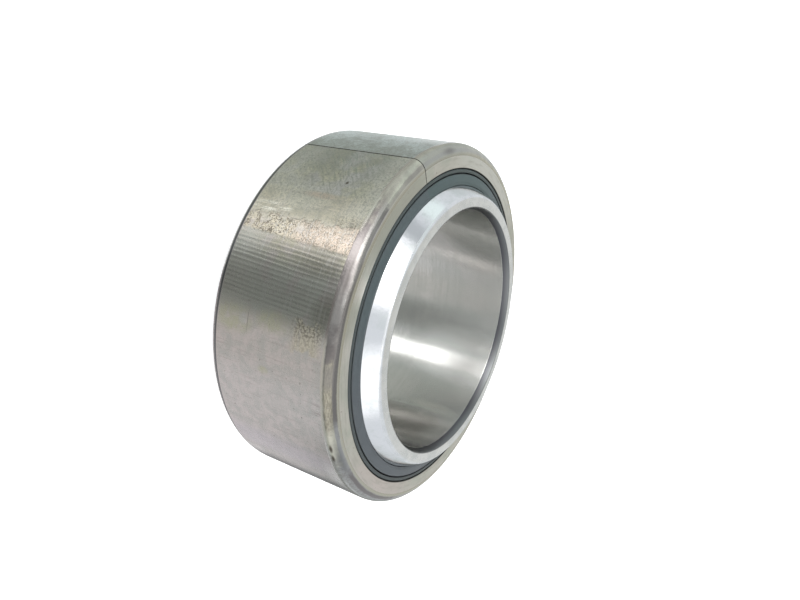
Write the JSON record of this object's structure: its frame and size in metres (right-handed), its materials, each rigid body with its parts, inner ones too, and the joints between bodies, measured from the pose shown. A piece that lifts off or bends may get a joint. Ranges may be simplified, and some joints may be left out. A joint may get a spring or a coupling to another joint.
{
  "type": "spherical plain bearing",
  "caption": "Sealed spherical plain bearing: a chromed inner ring with a spherical outside turns and tilts in a single-split steel outer ring with a lip seal in each end.",
  "frame": {"origin": "centre of the ball, midway between the faces of both rings", "axes": "+Z along the bearing's axis, towards the face that the picture shows; the split in the outer ring is at +Y"},
  "size_m": [0.105, 0.105, 0.049],
  "materials": {
    "ring_steel": "turned and ground steel, satin, lightly stained",
    "chromed_steel": "polished on the ball, fine ground in the bore",
    "liner_fabric": "woven sliding liner, resin bonded",
    "seal_rubber": "smooth semi-matt"
  },
  "bodies": {
    "outer": {"outer_ring": "ring_steel", "sliding_liner": "liner_fabric"},
    "seals": {"upper_seal": "seal_rubber", "lower_seal": "seal_rubber"},
    "inner": {"inner_ring": "chromed_steel"}
  },
  "joints": [
    {"name": "spin", "type": "hinge", "parent": "outer", "child": "seals", "pos_m": [0, 0, 0], "axis": [0, 0, 1], "continuous": true},
    {"name": "tilt", "type": "hinge", "parent": "seals", "child": "inner", "pos_m": [0, 0, 0], "axis": [1, 0, 0], "range_deg": [-6, 6]}
  ]
}
